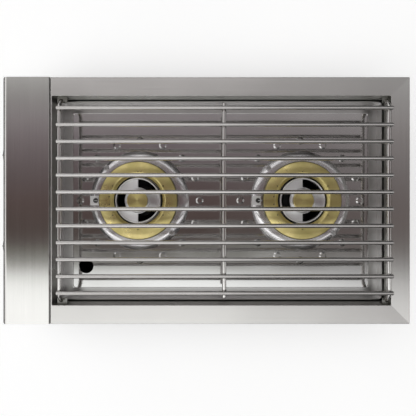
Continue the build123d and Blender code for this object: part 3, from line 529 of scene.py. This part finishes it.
# ---- stage, light and camera ---------------------------------------------------------------------
def floor_plane(name, reach, drop, made):
    """A floor that is open under the base plate and clear from below, so that the underside can be seen."""
    base_low, base_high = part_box("base_plate")
    inset = 4 * MM
    outer = [(-reach, -reach, 0), (reach, -reach, 0), (reach, reach, 0), (-reach, reach, 0)]
    inner = [
        (base_low.x + inset, base_low.y + inset, 0),
        (base_high.x - inset, base_low.y + inset, 0),
        (base_high.x - inset, base_high.y - inset, 0),
        (base_low.x + inset, base_high.y - inset, 0),
    ]
    sides = [(0, 1, 5, 4), (1, 2, 6, 5), (2, 3, 7, 6), (3, 0, 4, 7)]
    mesh = bpy.data.meshes.new(name)
    mesh.from_pydata(outer + inner, [], sides)
    mesh.materials.append(made)
    plane = bpy.data.objects.new(name, mesh)
    plane.location.z = -drop
    bpy.context.scene.collection.objects.link(plane)
    return plane


def clear_from_below(g, shader):
    """The back of the surface lets everything through."""
    clear = g.add("ShaderNodeBsdfTransparent")
    pick = g.add("ShaderNodeMixShader")
    g.link(g.add("ShaderNodeNewGeometry").outputs["Backfacing"], pick.inputs[0])
    g.link(shader.outputs[0], pick.inputs[1])
    g.link(clear.outputs[0], pick.inputs[2])
    out = g.add("ShaderNodeOutputMaterial")
    g.link(pick.outputs[0], out.inputs["Surface"])


def make_floor():
    """A pale floor, and a card that polished metal mirrors in its place, dark close to the front."""
    made, g = material("pale_floor")
    shade = g.noise(g.place(), 3.0, 2.0)
    colour = g.mix(shade, (0.86, 0.86, 0.86, 1.0), (0.9, 0.9, 0.9, 1.0))
    shader = g.principled(Base_Color=colour, Roughness=0.9)
    shader.inputs["Emission Color"].default_value = (1.0, 1.0, 1.0, 1.0)
    shader.inputs["Emission Strength"].default_value = 0.45
    clear_from_below(g, shader)
    reach = 4.0
    pale = floor_plane("floor", reach, 0.2 * MM, made)
    pale.visible_glossy = False

    made, g = material("grey_card")
    dark_until = 40 * MM
    grey_from = 140 * MM
    tucked_under = 10 * MM
    ahead = g.math("SUBTRACT", cad_box[0][1], g.split(g.place())[1])
    in_front = g.math("GREATER_THAN", ahead, -tucked_under)
    fade = g.span(ahead, dark_until, grey_from, 1.0, 0.0, smooth=True)
    close = g.math("MULTIPLY", in_front, fade)
    colour = g.mix(close, (0.42, 0.42, 0.42, 1.0), (0.03, 0.03, 0.03, 1.0))
    clear_from_below(g, g.principled(Base_Color=colour, Roughness=0.9))
    card = floor_plane("grey_card", reach, 0.4 * MM, made)
    card.visible_camera = False
    card.visible_diffuse = False
    card.visible_shadow = False


def stops_ramp(g, value, stops):
    """A colour ramp over angles in degrees from -90 to 90."""
    ramp = g.add("ShaderNodeValToRGB")
    g.link(value, ramp.inputs[0])
    elements = ramp.color_ramp.elements
    while len(elements) > 1:
        elements.remove(elements[-1])
    for i, (angle, colour) in enumerate(stops):
        spot = elements[0] if i == 0 else elements.new((angle + 90) / 180)
        spot.position = (angle + 90) / 180
        spot.color = colour + (1.0,)
    return ramp.outputs[0]


def grey(level):
    return (level, level, level)


def make_world():
    """A pale room with a dark warm band overhead, brightest at +X and dimmer to the back."""
    world = bpy.data.worlds.new("studio")
    bpy.context.scene.world = world
    g = Graph(world)
    ray = g.add("ShaderNodeTexCoord").outputs["Generated"]
    x, y, z = g.split(ray)
    up = g.math("MAXIMUM", z, 0.01)
    turn = g.math("ARCTAN2", x, up)
    place = g.span(turn, -math.pi / 2, math.pi / 2, 0.0, 1.0)
    near = stops_ramp(g, place, [
        (-90, grey(0.15)),
        (-50, grey(0.15)),
        (-42, grey(0.8)),
        (-36, grey(1.4)),
        (-28, grey(1.4)),
        (-23, grey(1.05)),
        (-17, (0.5, 0.5, 0.49)),
        (-14.5, (0.37, 0.355, 0.355)),
        (-12, (0.34, 0.31, 0.32)),
        (-8.7, (0.235, 0.2, 0.21)),
        (-3.5, (0.15, 0.12, 0.122)),
        (0, (0.125, 0.09, 0.085)),
        (4.2, (0.1, 0.075, 0.068)),
        (6.2, (0.12, 0.095, 0.088)),
        (7.6, (0.24, 0.24, 0.215)),
        (9.2, (0.4, 0.4, 0.37)),
        (10.6, (1.1, 1.12, 1.1)),
        (12.5, (1.42, 1.46, 1.44)),
        (15, (1.53, 1.56, 1.55)),
        (36, grey(1.6)),
        (42, grey(0.8)),
        (50, grey(0.15)),
        (90, grey(0.15)),
    ])
    far = stops_ramp(g, place, [
        (-90, grey(0.12)),
        (-50, grey(0.14)),
        (-38, grey(0.32)),
        (-28, grey(0.58)),
        (-17, grey(0.5)),
        (-10.4, (0.33, 0.31, 0.31)),
        (-3.5, (0.24, 0.22, 0.22)),
        (2, (0.18, 0.155, 0.15)),
        (7, (0.18, 0.155, 0.15)),
        (10.3, grey(0.36)),
        (12, grey(0.7)),
        (15, grey(0.84)),
        (20, grey(1.1)),
        (26, grey(1.15)),
        (32, grey(0.6)),
        (40, grey(0.3)),
        (50, grey(0.14)),
        (90, grey(0.12)),
    ])
    sky = g.mix(g.span(y, 0.0, 0.45, 0.0, 1.0), near, far)
    # dimmer to both sides in the back half of the room
    outer = g.span(g.math("ABSOLUTE", turn), math.radians(26), math.radians(36), 0.0, 1.0, smooth=True)
    dim = g.math("MULTIPLY", outer, g.span(y, -0.02, 0.16, 0.0, 0.6, smooth=True))
    sky = g.mix(dim, sky, (0.0, 0.0, 0.0, 1.0))
    lean = g.math("DIVIDE", y, up)
    # a bright wall in front, dark near its foot
    front = g.span(lean, -1.3, -0.8, 1.0, 0.0, smooth=True)
    sky = g.mix(front, sky, (1.15, 1.15, 1.15, 1.0))
    low_front = g.span(lean, -4.5, -2.8, 1.0, 0.0, smooth=True)
    sky = g.mix(low_front, sky, (0.03, 0.03, 0.03, 1.0))
    # light from below for the underside, and a plain backdrop for the camera
    below = g.math("LESS_THAN", z, -0.02)
    sky = g.mix(below, sky, (0.6, 0.6, 0.6, 1.0))
    seen = g.add("ShaderNodeLightPath").outputs["Is Camera Ray"]
    sky = g.mix(seen, sky, (0.9, 0.9, 0.9, 1.0))
    background = g.add("ShaderNodeBackground")
    g.link(sky, background.inputs["Color"])
    background.inputs["Strength"].default_value = 1.0
    out = g.add("ShaderNodeOutputWorld")
    g.link(background.outputs[0], out.inputs["Surface"])


def make_camera():
    """Straight above, the controls at the left of the picture and the user's left at its top."""
    height = 560 * MM
    before_well_mid = 18.2 * MM
    camera = bpy.data.objects.new("camera", bpy.data.cameras.new("camera"))
    camera.data.sensor_width = 36.0
    camera.data.lens = 34.2
    camera.data.shift_y = -0.018
    camera.data.clip_start = 0.01
    camera.location = (0.0, well_mid_y - before_well_mid, deck_z + height)
    camera.rotation_euler = (0.0, 0.0, math.pi / 2)
    bpy.context.scene.collection.objects.link(camera)
    bpy.context.scene.camera = camera


make_floor()
make_world()
make_camera()
bpy.context.scene.view_settings.view_transform = "Standard"
